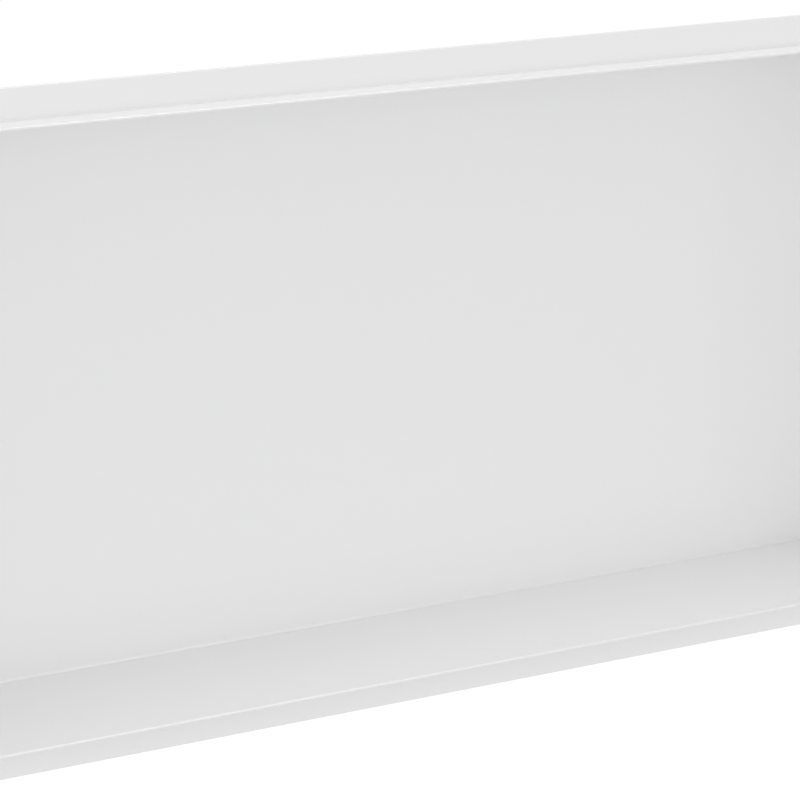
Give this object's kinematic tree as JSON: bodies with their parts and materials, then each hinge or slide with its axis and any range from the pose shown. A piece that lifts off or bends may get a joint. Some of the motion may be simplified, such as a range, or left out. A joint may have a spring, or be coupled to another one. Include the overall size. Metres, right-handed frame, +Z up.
{
  "type": "shower niche insert",
  "caption": "Wide, shallow sheet-steel box set into a shower wall as a shelf niche, with a thin front lip and a flat wall flange set back behind it for tiling up to the lip.",
  "frame": {"origin": "middle of the opening, on the wall's surface, which is the plane of the flange's back face", "axes": "+Z up, +X along the width, +Y into the wall, so the niche opens towards -Y"},
  "size_m": [0.632, 0.1017, 0.332],
  "materials": {
    "white_powder_coat": "satin white powder coat on sheet steel"
  },
  "bodies": {
    "root": {"niche_insert": "white_powder_coat"}
  },
  "joints": []
}
